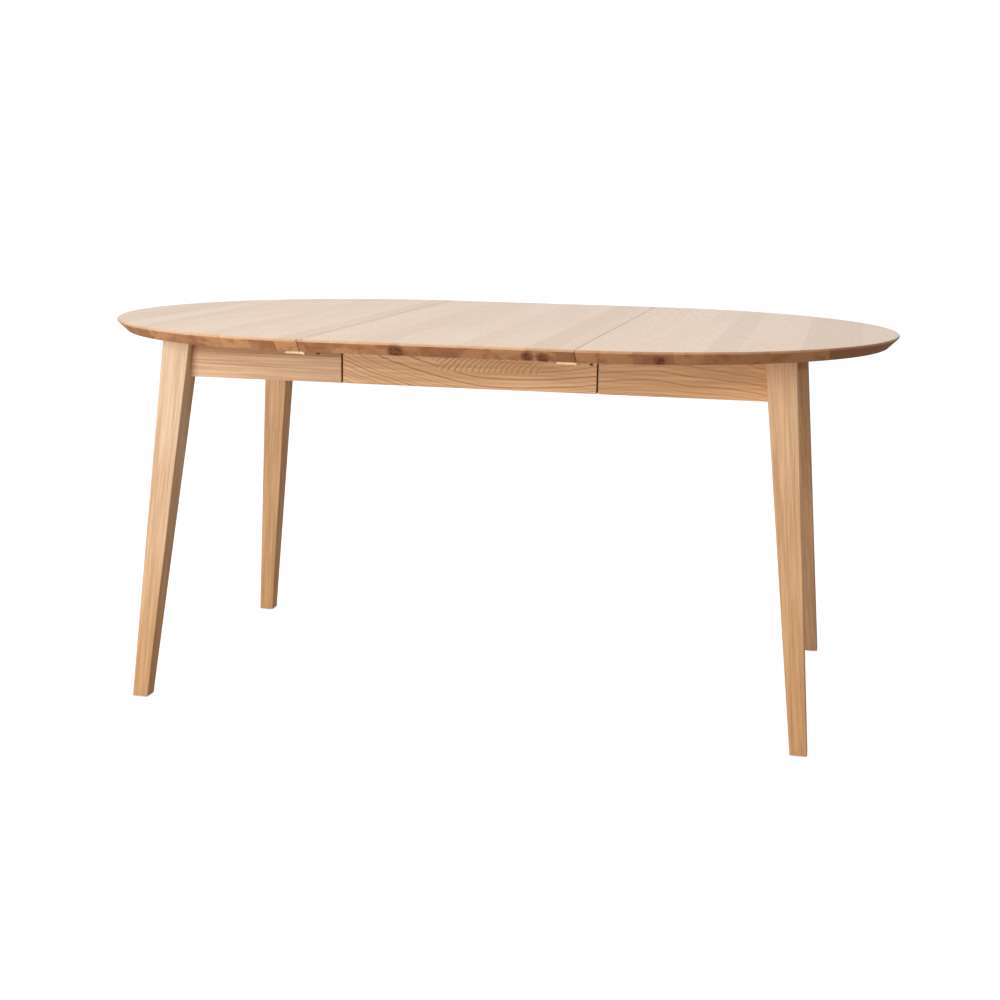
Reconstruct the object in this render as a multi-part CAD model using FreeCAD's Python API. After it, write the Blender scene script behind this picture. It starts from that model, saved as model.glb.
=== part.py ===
import FreeCAD, Part
import math
import os

# A round dining table made in two halves. Each half stands on two splayed legs, and the halves draw apart
# on wooden slides so that a loose leaf fits between them and makes the round top a long one.
#
# Frame: X is the way the halves draw apart, Y is across the table with the front at -Y, and Z is up.
# The origin is on the floor under the middle of the leaf. The table stands open with the leaf laid in.

# ---- The table as a whole
table_height = 755.0
closed_diameter = 1100.0
leaf_width = 500.0
extra_pull = 80.0          # the halves draw this much further apart to let the leaf go
seam_gap = 0.4             # from the leaf's long edge to the top beside it

# ---- Tops: glued staves with a thin nose and a long bevel cut away underneath
top_thickness = 24.0
edge_face = 4.5
edge_undercut = 20.0
arris = 3.0                # chamfer between the nose and the top face

# ---- Legs: square, tapered, splayed outwards both ways
leg_top_size = 56.5
leg_foot_size = 32.0
leg_end_inset = 186.0      # from the end of the top to the leg's outer face
leg_side_inset = 242.0     # from the side of the top to the leg's outer face
leg_splay_length = 71.0    # how far the leg's axis leans out along X
leg_splay_width = 73.0     # and along Y
leg_edge_radius = 2.0

# ---- Glides nailed under the feet
glide_diameter = 20.0
glide_thickness = 2.0

# ---- Aprons
apron_height = 83.0
apron_thickness = 20.0
apron_setback = 15.5       # from the leg's outer face at its top
apron_gap = 3.0            # between the apron ends at each seam

# ---- Corner blocks, glued behind each leg
block_side = 80.0
block_end = 16.0           # blunt end of the block along the apron
block_height = 56.0
block_drop = 12.0          # below the underside of the top

# ---- Hanger bolts that draw each leg into its corner
bolt_diameter = 10.0
bolt_embed = 46.0          # length inside the leg
bolt_spare = 4.0           # end that stands out of the nut
bolt_hole_clearance = 0.5
nut_width = 17.0
nut_thickness = 10.0
nut_flange_diameter = 24.0
nut_flange_thickness = 2.5

# ---- Slides: two fixed rails and a middle rail on each side, joined by dovetails
rail_thickness = 24.0
rail_height = 42.0
rail_block_gap = 12.5      # from the corner blocks to each set of rails
rail_face_gap = 0.4
rail_top_gap = 0.8         # the middle rail runs this far below the tops
rail_end_gap = 8.5         # from the end apron to the rails
dovetail_depth = 8.0
dovetail_mouth = 12.0
dovetail_base = 18.0
dovetail_clearance = 0.4
tongue_length = 260.0
stop_length = 12.0         # of the block glued in the groove
stop_gap = 0.3             # left to the tongue when the slide is fully out

# ---- Steel angle brackets between aprons and tops
bracket_length = 28.0
bracket_width = 20.0
bracket_thickness = 2.0
bracket_seam_offset = 60.0
bracket_block_offset = 40.0
bracket_leaf_spacing = 300.0

# ---- Leaf locks: a swing hook on the left of each seam, a stud on its right
lock_inset = 60.0          # from the side of the top to the middle of the lock
lock_plate_thickness = 3.0
lock_plate_width = 16.0
lock_plate_length = 58.0
lock_plate_gap = 1.0       # from the seam
rivet_setback = 7.0        # from the seam to the rivet the hook turns on
rivet_diameter = 5.0
rivet_fit = 0.05
rivet_head_diameter = 10.0
rivet_head_height = 1.5
hook_thickness = 4.0
hook_width = 13.0
hook_tip = 8.0             # from the middle of the notch to the tip
hook_tip_radius = 3.0
hook_running_gap = 0.2
stud_setback = 20.0        # from the seam to the stud
stud_diameter = 6.0
stud_spare = 0.8           # the stud reaches below the hook
stud_fit = 0.35
keeper_width = 14.0
keeper_length = 36.0
keeper_gap = 6.0           # from the seam

# ---- What follows from the sizes above
UP = FreeCAD.Vector(0, 0, 1)
ORIGIN = FreeCAD.Vector(0, 0, 0)
LEFT = -1
RIGHT = 1
FRONT = -1
BACK = 1
SIDE_NAME = {LEFT: "left", RIGHT: "right"}
FACE_NAME = {FRONT: "front", BACK: "back"}
seam = leaf_width / 2
end_radius = closed_diameter / 2
underside = table_height - top_thickness
leg_outer_x = seam + end_radius - leg_end_inset
leg_outer_y = end_radius - leg_side_inset
leg_top_x = leg_outer_x - leg_top_size / 2
leg_top_y = leg_outer_y - leg_top_size / 2
apron_outer_x = leg_outer_x - apron_setback
apron_outer_y = leg_outer_y - apron_setback
apron_inner_x = apron_outer_x - apron_thickness
apron_inner_y = apron_outer_y - apron_thickness
apron_bottom = underside - apron_height
block_top = underside - block_drop
bolt_height = block_top - block_height / 2
rail_root = apron_inner_x - rail_end_gap
rail_length = 2 * rail_root - leaf_width
rail_bottom = underside - rail_height
dovetail_axis = underside - rail_height / 2
rail_outer_face = apron_inner_y - block_side - rail_block_gap
left_rail_mouth = rail_outer_face - rail_thickness
middle_rail_outer = left_rail_mouth - rail_face_gap
middle_rail_inner = middle_rail_outer - rail_thickness
right_rail_mouth = middle_rail_inner - rail_face_gap
right_rail_inner = right_rail_mouth - rail_thickness
lock_y = end_radius - lock_inset
plate_bottom = underside - lock_plate_thickness
hook_reach = rivet_setback + stud_setback
hook_top = plate_bottom - hook_running_gap
hook_bottom = hook_top - hook_thickness


def box(x0, x1, y0, y1, z0, z1):
    """A block between two opposite corners."""
    return Part.makeBox(x1 - x0, y1 - y0, z1 - z0, FreeCAD.Vector(x0, y0, z0))


def rod(start, direction, diameter, length):
    """A round bar from start along direction."""
    return Part.makeCylinder(diameter / 2, length, start, direction)


def prism(points, push):
    """A closed outline pushed along a vector into a solid."""
    outline = [FreeCAD.Vector(*p) for p in points]
    return Part.Face(Part.makePolygon(outline + outline[:1])).extrude(push)


def in_quadrant(shape, side, face):
    """Mirrors a shape built at +X and +Y into the quadrant of the given side and face."""
    if side == LEFT:
        shape = shape.mirror(ORIGIN, FreeCAD.Vector(1, 0, 0))
    if face == FRONT:
        shape = shape.mirror(ORIGIN, FreeCAD.Vector(0, 1, 0))
    return shape


def save(node, solids):
    """Writes one node, as one solid or as a group of separate solids."""
    shape = solids[0] if len(solids) == 1 else Part.makeCompound(solids)
    shape.exportStep("parts/" + node + ".step")


# ---- Tops
def nose(reach):
    """Edges of the nose in the XZ plane, from the underside round to the top face; its tip is at reach."""
    low = FreeCAD.Vector(reach - edge_undercut, 0, underside)
    tip = FreeCAD.Vector(reach, 0, table_height - edge_face)
    shoulder = FreeCAD.Vector(reach, 0, table_height - arris)
    crown = FreeCAD.Vector(reach - arris, 0, table_height)
    return [Part.makeLine(low, tip), Part.makeLine(tip, shoulder), Part.makeLine(shoulder, crown)]


def half_top(side):
    """A half disc with the nose round its curved side and its straight side at the seam."""
    centre_low = FreeCAD.Vector(0, 0, underside)
    centre_high = FreeCAD.Vector(0, 0, table_height)
    edges = nose(end_radius)
    under = Part.makeLine(centre_low, edges[0].Vertexes[0].Point)
    over = Part.makeLine(edges[-1].Vertexes[-1].Point, centre_high)
    profile = Part.Face(Part.Wire([under] + edges + [over, Part.makeLine(centre_high, centre_low)]))
    profile.rotate(ORIGIN, UP, -90)
    disc = profile.revolve(ORIGIN, UP, 180)
    disc.translate(FreeCAD.Vector(seam, 0, 0))
    return in_quadrant(disc, side, BACK)


def leaf_top():
    """A straight board with the nose along its front and back ends."""
    back = nose(end_radius)
    front = [edge.mirror(ORIGIN, FreeCAD.Vector(1, 0, 0)) for edge in back]
    under = Part.makeLine(front[0].Vertexes[0].Point, back[0].Vertexes[0].Point)
    over = Part.makeLine(back[-1].Vertexes[-1].Point, front[-1].Vertexes[-1].Point)
    profile = Part.Face(Part.Wire(Part.__sortEdges__([under, over] + back + front)))
    profile.rotate(ORIGIN, UP, 90)
    profile.translate(FreeCAD.Vector(seam_gap - seam, 0, 0))
    return profile.extrude(FreeCAD.Vector(leaf_width - 2 * seam_gap, 0, 0))


# ---- Legs
def leg_axis(z):
    """The middle of the leg at a height, in the +X +Y quadrant."""
    lean = (underside - z) / (underside - glide_thickness)
    return FreeCAD.Vector(leg_top_x + leg_splay_length * lean, leg_top_y + leg_splay_width * lean, z)


def leg_corners(z, size):
    """The corners of the leg's square section at a height, in order round it."""
    signs = [(-1, -1), (1, -1), (1, 1), (-1, 1)]
    return [leg_axis(z) + FreeCAD.Vector(i * size / 2, j * size / 2, 0) for i, j in signs]


def leg_blank():
    """The tapered leg as six flat faces with its four long edges eased, before the holes."""
    head = leg_corners(underside, leg_top_size)
    foot = leg_corners(glide_thickness, leg_foot_size)
    rings = [head, foot[::-1]]
    for k in range(4):
        after = (k + 1) % 4
        rings.append([foot[k], foot[after], head[after], head[k]])
    faces = [Part.Face(Part.makePolygon(ring + ring[:1])) for ring in rings]
    blank = Part.makeSolid(Part.makeShell(faces))
    long_edges = [edge for edge in blank.Edges if edge.BoundBox.ZLength > leg_top_size]
    return blank.makeFillet(leg_edge_radius, long_edges)


def leg(side, face):
    """The leg with the hole that its bolt is screwed into."""
    depth = block_face_distance() - leg_top_size / math.sqrt(2) + bolt_embed
    hole = rod(bolt_start(), bolt_direction(), bolt_diameter, depth)
    return in_quadrant(leg_blank().cut(hole), side, face)


def glide(side, face):
    """A nylon disc under the foot."""
    top = leg_axis(glide_thickness)
    return in_quadrant(rod(top, -UP, glide_diameter, glide_thickness), side, face)


# ---- Corner blocks and hanger bolts
def bolt_direction():
    """The bolts run level, at 45 degrees, from the corner block out into the leg."""
    return FreeCAD.Vector(1, 1, 0).normalize()


def block_face_distance():
    """From the leg's axis, at the height of the bolt, back to the slanting face of the corner block."""
    middle = leg_axis(bolt_height)
    slant = apron_inner_x + apron_inner_y - block_side - block_end
    return (middle.x + middle.y - slant) / math.sqrt(2)


def bolt_start():
    """Where the bolt comes out of the slanting face of the corner block."""
    return leg_axis(bolt_height) - bolt_direction() * block_face_distance()


def hanger_bolt(side, face):
    """A bolt screwed into the leg, with its other end out through the block and the nut."""
    outside = nut_thickness + bolt_spare
    length = outside + block_face_distance() - leg_top_size / math.sqrt(2) + bolt_embed
    tail = bolt_start() - bolt_direction() * outside
    return in_quadrant(rod(tail, bolt_direction(), bolt_diameter, length), side, face)


def flange_nut(side, face):
    """A hexagon nut with a flange that bears on the block."""
    corner = nut_width / math.sqrt(3)
    hexagon = [(corner * math.cos(k * math.pi / 3), corner * math.sin(k * math.pi / 3), 0) for k in range(6)]
    nut = prism(hexagon, UP * nut_thickness).fuse(rod(ORIGIN, UP, nut_flange_diameter, nut_flange_thickness))
    nut = nut.cut(rod(ORIGIN, UP, bolt_diameter, nut_thickness)).removeSplitter()
    nut.Placement = FreeCAD.Placement(bolt_start(), FreeCAD.Rotation(UP, -bolt_direction()))
    return in_quadrant(nut, side, face)


def corner_block(side, face):
    """A block square to the two aprons and slanting across the corner, notched round the leg."""
    x = apron_inner_x
    y = apron_inner_y
    bottom = block_top - block_height
    outline = [(x, y, bottom), (x - block_side, y, bottom), (x - block_side, y - block_end, bottom),
               (x - block_end, y - block_side, bottom), (x, y - block_side, bottom)]
    shape = prism(outline, UP * block_height).cut(leg_blank())
    hole_diameter = bolt_diameter + 2 * bolt_hole_clearance
    shape = shape.cut(rod(bolt_start(), bolt_direction(), hole_diameter, block_face_distance()))
    return in_quadrant(shape, side, face)


# ---- Aprons
def side_apron(side, face):
    """The apron along the front or back of a half, from the seam to the leg's slanting face."""
    start = seam + apron_gap / 2
    shape = box(start, leg_top_x, apron_inner_y, apron_outer_y, apron_bottom, underside)
    return in_quadrant(shape.cut(leg_blank()), side, face)


def end_apron(side):
    """The apron across the end of a half, between the slanting faces of its two legs."""
    shape = box(apron_inner_x, apron_outer_x, -leg_top_y, leg_top_y, apron_bottom, underside)
    for face in (FRONT, BACK):
        shape = shape.cut(in_quadrant(leg_blank(), RIGHT, face))
    return in_quadrant(shape, side, BACK)


def leaf_apron(face):
    """The apron under the leaf, as long as the leaf is wide less a gap at each end."""
    half = seam - apron_gap / 2
    shape = box(-half, half, apron_inner_y, apron_outer_y, apron_bottom, underside)
    return in_quadrant(shape, RIGHT, face)


# ---- Angle brackets
def bracket(x, y, turn):
    """Two steel plates at a right angle, under a top and inside an apron; turn 0 suits the front."""
    half = bracket_width / 2
    against_apron = box(-half, half, 0, bracket_thickness, -bracket_length, 0)
    against_top = box(-half, half, 0, bracket_length, -bracket_thickness, 0)
    shape = against_apron.fuse(against_top).removeSplitter()
    shape.rotate(ORIGIN, UP, turn)
    shape.translate(FreeCAD.Vector(x, y, underside))
    return shape


def side_brackets(places):
    """Brackets at the given places along both the front and the back apron."""
    turns = {FRONT: 0, BACK: 180}
    return [bracket(x, face * apron_inner_y, turns[face]) for face in (FRONT, BACK) for x in places]


def half_brackets(side):
    """The six brackets of one half; those at its end stand halfway from the middle to the rails."""
    near = seam + bracket_seam_offset
    far = apron_inner_x - block_side - bracket_block_offset
    reach = right_rail_inner / 2
    at_end = [bracket(side * apron_inner_x, face * reach, side * 90) for face in (FRONT, BACK)]
    return side_brackets([side * near, side * far]) + at_end


def leaf_brackets():
    """The four brackets of the leaf."""
    reach = bracket_leaf_spacing / 2
    return side_brackets([-reach, reach])


# ---- Slides
def dovetail(mouth, inward, x0, x1, proud, clearance):
    """A dovetail along X that starts proud of the groove's mouth, with a clearance on its other sides."""
    slope = (dovetail_base - dovetail_mouth) / 2 / dovetail_depth
    start = -proud
    end = dovetail_depth - clearance
    half_start = dovetail_mouth / 2 - clearance + start * slope
    half_end = dovetail_mouth / 2 - clearance + end * slope
    outline = [(x0, mouth + inward * start, dovetail_axis - half_start),
               (x0, mouth + inward * end, dovetail_axis - half_end),
               (x0, mouth + inward * end, dovetail_axis + half_end),
               (x0, mouth + inward * start, dovetail_axis + half_start)]
    return prism(outline, FreeCAD.Vector(x1 - x0, 0, 0))


def groove_part(side, x0, x1, proud):
    """A length of the groove in the fixed rail of one side."""
    if side == LEFT:
        return dovetail(left_rail_mouth, 1, x0, x1, proud, 0)
    return dovetail(right_rail_mouth, -1, x0, x1, proud, 0)


def fixed_rail(side, face):
    """A rail fixed under one half and reaching out past the middle, grooved for the middle rail."""
    x0 = rail_root - rail_length
    y0, y1 = (left_rail_mouth, rail_outer_face) if side == LEFT else (right_rail_inner, right_rail_mouth)
    shape = box(x0, rail_root, y0, y1, rail_bottom, underside)
    return in_quadrant(shape.cut(groove_part(side, x0, rail_root, rail_face_gap)), side, face)


def stop_block(side, face):
    """A block glued in the groove, met by the end of the tongue when the slide is fully out."""
    x1 = rail_length / 2 - tongue_length - extra_pull / 2 - stop_gap
    return in_quadrant(groove_part(side, x1 - stop_length, x1, 0), side, face)


def middle_rail(face):
    """The rail between the fixed ones, with a tongue at each end for the rail on that side."""
    half = rail_length / 2
    shape = box(-half, half, middle_rail_inner, middle_rail_outer, rail_bottom, underside - rail_top_gap)
    inner = half - tongue_length
    left_tongue = dovetail(left_rail_mouth, 1, -half, -inner, rail_face_gap, dovetail_clearance)
    right_tongue = dovetail(right_rail_mouth, -1, inner, half, rail_face_gap, dovetail_clearance)
    return in_quadrant(shape.fuse([left_tongue, right_tongue]).removeSplitter(), RIGHT, face)


# ---- Leaf locks, built for a seam at x = 0 with the back edge of the table at +Y
def rivet_axis(z):
    """A point on the axis that the hook turns on."""
    return FreeCAD.Vector(-rivet_setback, lock_y, z)


def lock_plate():
    """The plate under the member on the left of the seam."""
    x1 = -lock_plate_gap
    half = lock_plate_width / 2
    shape = box(x1 - lock_plate_length, x1, lock_y - half, lock_y + half, plate_bottom, underside)
    return shape.cut(rod(rivet_axis(plate_bottom), UP, rivet_diameter, lock_plate_thickness))


def lock_rivet():
    """A headed rivet, fast in the plate, that the hook turns on."""
    head_top = hook_bottom - hook_running_gap
    head = rod(rivet_axis(head_top - rivet_head_height), UP, rivet_head_diameter, rivet_head_height)
    return head.fuse(rod(rivet_axis(head_top), UP, rivet_diameter, underside - head_top))


def lock_hook():
    """A flat bar parked beside the seam, which swings half a turn to pass its notch round the stud."""
    half = hook_width / 2
    pivot = rivet_axis(hook_bottom)
    tip = pivot.x - hook_reach - hook_tip
    bar = box(tip, pivot.x, lock_y - half, lock_y + half, hook_bottom, hook_top)
    upright = [edge for edge in bar.Edges if edge.BoundBox.ZLength > hook_thickness / 2]
    corners = [edge for edge in upright if edge.BoundBox.XMax < pivot.x - half]
    bar = bar.makeFillet(hook_tip_radius, corners)
    bar = bar.fuse(rod(pivot, UP, hook_width, hook_thickness)).removeSplitter()
    bar = bar.cut(rod(pivot, UP, rivet_diameter + 2 * rivet_fit, hook_thickness))
    slot_width = stud_diameter + 2 * stud_fit
    path = rod(pivot, UP, 2 * hook_reach + slot_width, hook_thickness)
    path = path.cut(rod(pivot, UP, 2 * hook_reach - slot_width, hook_thickness))
    path = path.common(box(tip, pivot.x, lock_y - hook_width, lock_y, hook_bottom, hook_top))
    seat = FreeCAD.Vector(pivot.x - hook_reach, lock_y, hook_bottom)
    return bar.cut(path).cut(rod(seat, UP, slot_width, hook_thickness))


def keeper():
    """The plate under the member on the right of the seam, with the hole for its stud."""
    half = keeper_width / 2
    plate = box(keeper_gap, keeper_gap + keeper_length, lock_y - half, lock_y + half, plate_bottom, underside)
    hole_start = FreeCAD.Vector(stud_setback, lock_y, plate_bottom)
    return plate.cut(rod(hole_start, UP, stud_diameter, lock_plate_thickness))


def keeper_stud():
    """A stud riveted into the keeper, which the hook goes round."""
    bottom = hook_bottom - stud_spare
    return rod(FreeCAD.Vector(stud_setback, lock_y, bottom), UP, stud_diameter, underside - bottom)


def at_seam(shape, side, face):
    """Moves a lock piece to the seam on the given side, and mirrors it to the front when asked."""
    moved = in_quadrant(shape, RIGHT, face)
    moved.translate(FreeCAD.Vector(side * seam, 0, 0))
    return moved


# ---- Everything together
def save_half(side):
    """Writes the nodes of one half: its top, aprons, legs, corner blocks, rails and fittings."""
    name = SIDE_NAME[side]
    faces = (FRONT, BACK)
    save(name + "_top", [half_top(side)])
    save(name + "_end_apron", [end_apron(side)])
    save(name + "_brackets", half_brackets(side))
    save(name + "_leg_bolts", [hanger_bolt(side, face) for face in faces])
    save(name + "_leg_nuts", [flange_nut(side, face) for face in faces])
    save(name + "_glides", [glide(side, face) for face in faces])
    save(name + "_stop_blocks", [stop_block(side, face) for face in faces])
    for face in faces:
        place = name + "_" + FACE_NAME[face]
        save(place + "_apron", [side_apron(side, face)])
        save(place + "_leg", [leg(side, face)])
        save(place + "_corner_block", [corner_block(side, face)])
        save(place + "_rail", [fixed_rail(side, face)])


def save_leaf():
    """Writes the leaf's board, aprons and brackets, which lift out together."""
    save("leaf_top", [leaf_top()])
    save("leaf_brackets", leaf_brackets())
    for face in (FRONT, BACK):
        save("leaf_" + FACE_NAME[face] + "_apron", [leaf_apron(face)])


def save_locks(seam_side, hook_owner, stud_owner):
    """Writes the locks of one seam: plates, rivets and hooks on its left member, keepers on its right one."""
    for face in (FRONT, BACK):
        hook_place = hook_owner + "_" + FACE_NAME[face]
        stud_place = stud_owner + "_" + FACE_NAME[face]
        save(hook_place + "_lock_plate", [at_seam(lock_plate(), seam_side, face)])
        save(hook_place + "_lock_rivet", [at_seam(lock_rivet(), seam_side, face)])
        save(hook_place + "_lock_hook", [at_seam(lock_hook(), seam_side, face)])
        save(stud_place + "_keeper", [at_seam(keeper(), seam_side, face)])
        save(stud_place + "_keeper_stud", [at_seam(keeper_stud(), seam_side, face)])


os.makedirs("parts", exist_ok=True)
save_half(LEFT)
save_half(RIGHT)
save_leaf()
save_locks(LEFT, "left", "leaf")
save_locks(RIGHT, "leaf", "right")
save("front_middle_rail", [middle_rail(FRONT)])
save("back_middle_rail", [middle_rail(BACK)])
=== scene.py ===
import math
import bpy
import numpy as np
from mathutils import Matrix, Vector


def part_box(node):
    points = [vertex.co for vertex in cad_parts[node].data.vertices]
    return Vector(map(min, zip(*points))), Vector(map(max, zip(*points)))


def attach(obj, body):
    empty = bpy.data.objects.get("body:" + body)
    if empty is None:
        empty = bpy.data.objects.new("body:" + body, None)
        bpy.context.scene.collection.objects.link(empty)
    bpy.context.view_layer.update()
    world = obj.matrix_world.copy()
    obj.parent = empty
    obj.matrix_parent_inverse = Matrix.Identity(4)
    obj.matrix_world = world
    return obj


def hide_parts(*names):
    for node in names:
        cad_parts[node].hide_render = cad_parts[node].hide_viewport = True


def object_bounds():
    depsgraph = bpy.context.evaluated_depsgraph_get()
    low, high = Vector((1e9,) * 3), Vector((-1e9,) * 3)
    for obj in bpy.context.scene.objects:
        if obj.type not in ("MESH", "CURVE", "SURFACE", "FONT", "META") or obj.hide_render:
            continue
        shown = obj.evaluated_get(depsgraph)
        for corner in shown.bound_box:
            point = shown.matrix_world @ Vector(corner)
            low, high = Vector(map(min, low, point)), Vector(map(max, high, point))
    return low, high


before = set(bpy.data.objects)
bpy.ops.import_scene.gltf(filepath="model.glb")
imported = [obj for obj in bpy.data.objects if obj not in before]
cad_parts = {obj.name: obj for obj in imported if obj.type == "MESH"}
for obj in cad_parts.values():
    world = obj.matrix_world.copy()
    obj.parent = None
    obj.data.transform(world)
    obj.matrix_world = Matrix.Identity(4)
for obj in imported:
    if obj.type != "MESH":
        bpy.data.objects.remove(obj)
cad_low, cad_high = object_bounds()


# ---- The studio
# A seamless pale floor in white surroundings. One large soft lamp stands on the left in front of the table,
# a second hangs over it, and the white room fills the shadows. A bright card stands low in front, for the
# metal to mirror.
class Finish:
    """One finish as a node material. Each method that adds a node returns its output socket, except bump,
    which links its node to the shader's normal.
    """

    def __init__(self, name):
        self.material = bpy.data.materials.new(name)
        self.material.use_nodes = True
        self.nodes = self.material.node_tree.nodes
        self.links = self.material.node_tree.links
        self.shader = self.nodes["Principled BSDF"]

    def join(self, value, socket):
        """Links an output socket to an input, or writes a plain value into it."""
        if isinstance(value, bpy.types.NodeSocket):
            self.links.new(value, socket)
        else:
            socket.default_value = value

    def add(self, kind, output, inputs, **settings):
        """Adds any node, with its settings and its inputs by name or number."""
        node = self.nodes.new(kind)
        for setting, value in settings.items():
            setattr(node, setting, value)
        for place, value in inputs.items():
            self.join(value, node.inputs[place])
        return node.outputs[output]

    def maths(self, operation, *values):
        return self.add("ShaderNodeMath", 0, dict(enumerate(values)), operation=operation)

    def mix(self, share, first, second, blend="MIX"):
        """Mixes two colours; a share of 0 is the first one."""
        inputs = {"Factor": share, 6: first, 7: second}
        return self.add("ShaderNodeMix", 2, inputs, data_type="RGBA", blend_type=blend)

    def fit(self, value, low, high, to_low=0.0, to_high=1.0):
        """Maps low..high to to_low..to_high with soft ends, and holds it there outside."""
        inputs = {"Value": value, "From Min": low, "From Max": high, "To Min": to_low, "To Max": to_high}
        return self.add("ShaderNodeMapRange", 0, inputs, interpolation_type="SMOOTHSTEP")

    def scaled(self, vector, x, y, z):
        """A vector with each of its directions scaled by itself."""
        inputs = {0: vector, 1: (x, y, z)}
        return self.add("ShaderNodeVectorMath", 0, inputs, operation="MULTIPLY")

    def noise(self, vector, detail, roughness=0.5):
        """Cloudy noise from 0 to 1 with one feature in each unit of the vector."""
        inputs = {"Vector": vector, "Scale": 1.0, "Detail": detail, "Roughness": roughness}
        return self.add("ShaderNodeTexNoise", 0, inputs)

    def parts(self, vector):
        """The three parts of a vector."""
        node = self.nodes.new("ShaderNodeSeparateXYZ")
        self.links.new(vector, node.inputs[0])
        return node.outputs[0], node.outputs[1], node.outputs[2]

    def vector(self, x, y, z):
        return self.add("ShaderNodeCombineXYZ", 0, {0: x, 1: y, 2: z})

    def bump(self, height, strength, distance):
        """Raises the surface by a height between 0 and 1 times the distance."""
        inputs = {"Height": height, "Strength": strength, "Distance": distance}
        self.join(self.add("ShaderNodeBump", 0, inputs), self.shader.inputs["Normal"])


def colour(red, green, blue):
    """A colour given by its screen values from 0 to 255, as the linear values that a shader takes."""
    screen = np.array([red, green, blue]) / 255
    linear = np.where(screen <= 0.04045, screen / 12.92, ((screen + 0.055) / 1.055) ** 2.4)
    return (*linear.tolist(), 1.0)


def mesh_object(name, points, faces):
    """A new object at the origin from an array of points and lists of the points round each face."""
    mesh = bpy.data.meshes.new(name)
    mesh.from_pydata(points.reshape(-1, 3).tolist(), [], faces)
    mesh.validate()
    piece = bpy.data.objects.new(name, mesh)
    bpy.context.scene.collection.objects.link(piece)
    return piece


def build_floor():
    """A flat floor that is white to the camera except where the table shades it."""
    reach = 40.0
    corners = np.array([[-reach, -reach, 0], [reach, -reach, 0], [reach, reach, 0], [-reach, reach, 0]])
    floor = mesh_object("studio_floor", corners, [(0, 1, 2, 3)])
    paint = Finish("studio_floor_paint")
    grain = paint.noise(paint.scaled(paint.add("ShaderNodeTexCoord", "Object", {}), 60, 60, 60), 3)
    pale = paint.mix(grain, colour(178, 168, 155), colour(186, 176, 163))
    paint.join(pale, paint.shader.inputs["Base Color"])
    paint.join(0.7, paint.shader.inputs["Roughness"])
    to_camera = paint.add("ShaderNodeLightPath", "Is Camera Ray", {})
    glow = paint.add("ShaderNodeEmission", 0, {"Color": (0.76, 0.84, 0.92, 1), "Strength": 1.0})
    lifted = paint.add("ShaderNodeAddShader", 0, {0: paint.shader.outputs[0], 1: glow})
    shown = paint.add("ShaderNodeMixShader", 0, {0: to_camera, 1: paint.shader.outputs[0], 2: lifted})
    paint.join(shown, paint.nodes["Material Output"].inputs["Surface"])
    floor.data.materials.append(paint.material)


def build_world():
    """White to the camera and in reflections, and a weaker soft white as light."""
    world = bpy.data.worlds.new("white_room")
    world.use_nodes = True
    bpy.context.scene.world = world
    nodes = world.node_tree.nodes
    links = world.node_tree.links
    rays = nodes.new("ShaderNodeLightPath")
    fill = nodes["Background"]
    fill.inputs["Color"].default_value = (1, 1, 1, 1)
    fill.inputs["Strength"].default_value = 0.50
    white = nodes.new("ShaderNodeBackground")
    white.inputs["Strength"].default_value = 1.0
    white.inputs["Color"].default_value = (1, 1, 1, 1)
    seen = nodes.new("ShaderNodeMath")
    seen.operation = "MAXIMUM"
    links.new(rays.outputs["Is Camera Ray"], seen.inputs[0])
    links.new(rays.outputs["Is Glossy Ray"], seen.inputs[1])
    either = nodes.new("ShaderNodeMixShader")
    links.new(seen.outputs[0], either.inputs[0])
    links.new(fill.outputs[0], either.inputs[1])
    links.new(white.outputs[0], either.inputs[2])
    links.new(either.outputs[0], nodes["World Output"].inputs["Surface"])


def soft_lamp(name, place, target, size, watts, mirrored=False):
    """A square lamp turned towards a target point. It lights surfaces, or is only mirrored in them."""
    lamp = bpy.data.lights.new(name, "AREA")
    lamp.shape = "SQUARE"
    lamp.size = size
    lamp.energy = watts
    stand = bpy.data.objects.new(name, lamp)
    bpy.context.scene.collection.objects.link(stand)
    stand.location = place
    stand.rotation_euler = (Vector(target) - Vector(place)).to_track_quat("-Z", "Y").to_euler()
    stand.visible_camera = False
    stand.visible_diffuse = not mirrored
    stand.visible_glossy = mirrored


def build_camera():
    """A camera about a metre up, in front and to the right, turned a little back to the left."""
    place = Vector((0.70938, -3.17888, 1.01717))
    yaw = 0.2189
    pitch_down = 0.1942
    roll = 0.0165
    camera = bpy.data.cameras.new("camera")
    camera.sensor_width = 36.0
    camera.lens = 56.45
    stand = bpy.data.objects.new("camera", camera)
    bpy.context.scene.collection.objects.link(stand)
    turn = Matrix.Rotation(yaw, 4, "Z") @ Matrix.Rotation(math.pi / 2 - pitch_down, 4, "X")
    stand.matrix_world = Matrix.Translation(place) @ turn @ Matrix.Rotation(roll, 4, "Z")
    bpy.context.scene.camera = stand


build_floor()
build_world()
soft_lamp("window_lamp", (-2.7, -4.8, 1.3), (0.0, 0.0, 0.6), 3.4, 199.0)
soft_lamp("overhead_lamp", (-0.5, -0.8, 2.9), (0.0, -0.2, 0.7), 2.2, 21.0)
soft_lamp("low_card", (-0.75, -3.2, 0.4), (0.0, -0.5, 0.72), 0.62, 4.6, mirrored=True)
build_camera()
bpy.context.scene.view_settings.view_transform = "Standard"


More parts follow.
